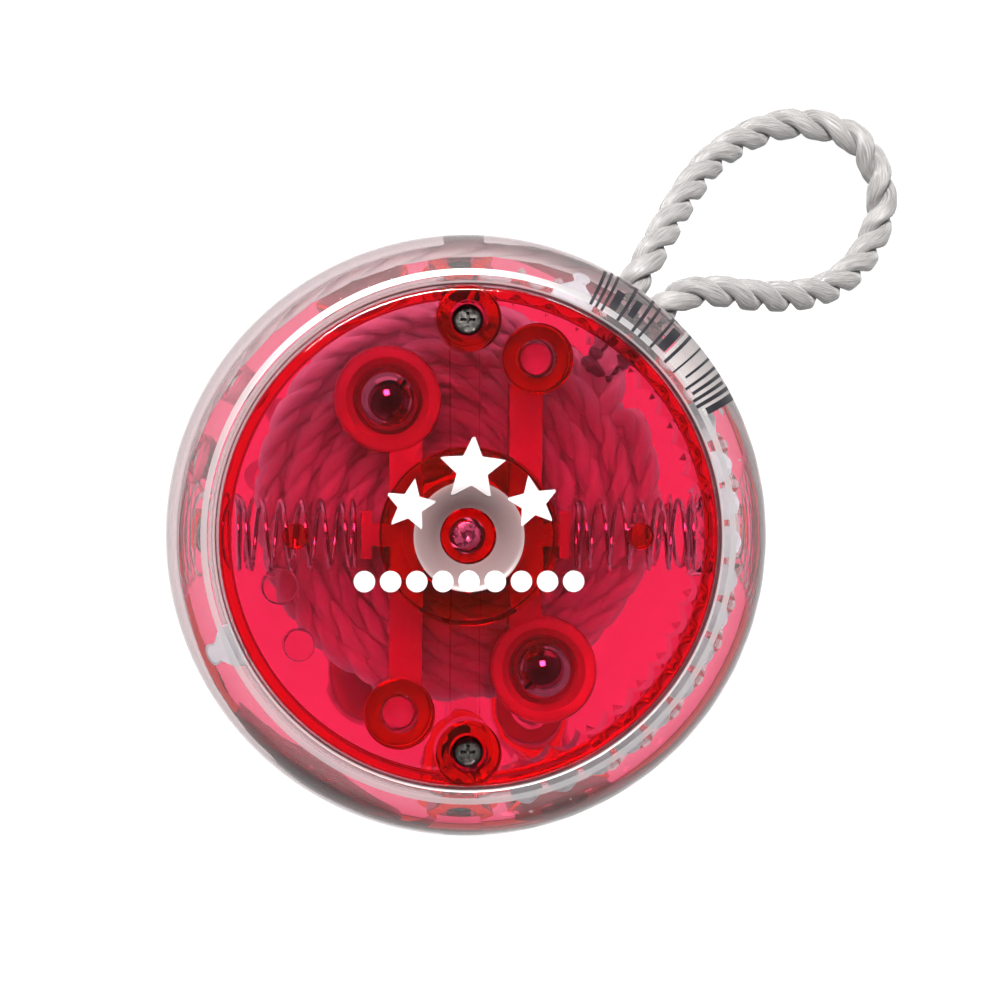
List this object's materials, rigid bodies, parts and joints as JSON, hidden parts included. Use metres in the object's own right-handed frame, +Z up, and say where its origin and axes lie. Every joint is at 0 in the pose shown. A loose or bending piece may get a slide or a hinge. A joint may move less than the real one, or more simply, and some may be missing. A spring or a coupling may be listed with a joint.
{
  "type": "centrifugal clutch yo-yo",
  "caption": "Round clear plastic yo-yo with translucent red covers, a spring and ball clutch in each half, wound white string and a finger loop.",
  "frame": {"origin": "on the surface that the yo-yo lies on, under the middle of its two halves", "axes": "+Z up along the axle, from the back half to the front half; +X and +Y in the plane of the gap, with the front half's screws on the Y axis and its springs on the X axis"},
  "size_m": [0.0734, 0.0713, 0.035],
  "materials": {
    "clear_plastic": "clear polished moulding",
    "red_plastic": "translucent red polished moulding",
    "lever_plastic": "translucent red moulding",
    "spindle_plastic": "pale low-friction plastic",
    "ball_steel": "polished bearing ball",
    "spring_steel": "drawn wire",
    "screw_steel": "dull plated",
    "axle_steel": "ground rod",
    "cord_nylon": "two-ply twisted nylon"
  },
  "bodies": {
    "root": {"front_body": "clear_plastic", "front_cap": "red_plastic", "front_cap_screw_1": "screw_steel", "front_cap_screw_2": "screw_steel", "front_spring_1": "spring_steel", "front_spring_2": "spring_steel", "back_body": "clear_plastic", "back_cap": "red_plastic", "back_cap_screw_1": "screw_steel", "back_cap_screw_2": "screw_steel", "back_spring_1": "spring_steel", "back_spring_2": "spring_steel", "axle": "axle_steel"},
    "spindle": {"spindle": "spindle_plastic", "string_winding": "cord_nylon", "string_loop": "cord_nylon", "loop_knot": "cord_nylon"},
    "front_lever_1": {"front_lever_1": "lever_plastic", "front_ball_1": "ball_steel"},
    "front_lever_2": {"front_lever_2": "lever_plastic", "front_ball_2": "ball_steel"},
    "back_lever_1": {"back_lever_1": "lever_plastic", "back_ball_1": "ball_steel"},
    "back_lever_2": {"back_lever_2": "lever_plastic", "back_ball_2": "ball_steel"}
  },
  "joints": [
    {"name": "spindle_spin", "type": "hinge", "parent": "root", "child": "spindle", "pos_m": [0, 0, 0.0175], "axis": [0, 0, 1], "continuous": true},
    {"name": "front_lever_1_swing", "type": "hinge", "parent": "root", "child": "front_lever_1", "pos_m": [-0.0065, -0.01665, 0.0241], "axis": [0, 0, 1], "range_deg": [0, 4], "stiffness_Nm_per_rad": 0.067, "springref_deg": -15.47, "deforming": ["front_spring_1"]},
    {"name": "front_lever_2_swing", "type": "hinge", "parent": "root", "child": "front_lever_2", "pos_m": [0.0065, 0.01665, 0.0241], "axis": [0, 0, 1], "range_deg": [0, 4], "stiffness_Nm_per_rad": 0.067, "springref_deg": -15.47, "deforming": ["front_spring_2"]},
    {"name": "back_lever_1_swing", "type": "hinge", "parent": "root", "child": "back_lever_1", "pos_m": [-0.0065, 0.01665, 0.0109], "axis": [0, 0, -1], "range_deg": [0, 4], "stiffness_Nm_per_rad": 0.067, "springref_deg": -15.47, "deforming": ["back_spring_1"]},
    {"name": "back_lever_2_swing", "type": "hinge", "parent": "root", "child": "back_lever_2", "pos_m": [0.0065, -0.01665, 0.0109], "axis": [0, 0, -1], "range_deg": [0, 4], "stiffness_Nm_per_rad": 0.067, "springref_deg": -15.47, "deforming": ["back_spring_2"]}
  ]
}
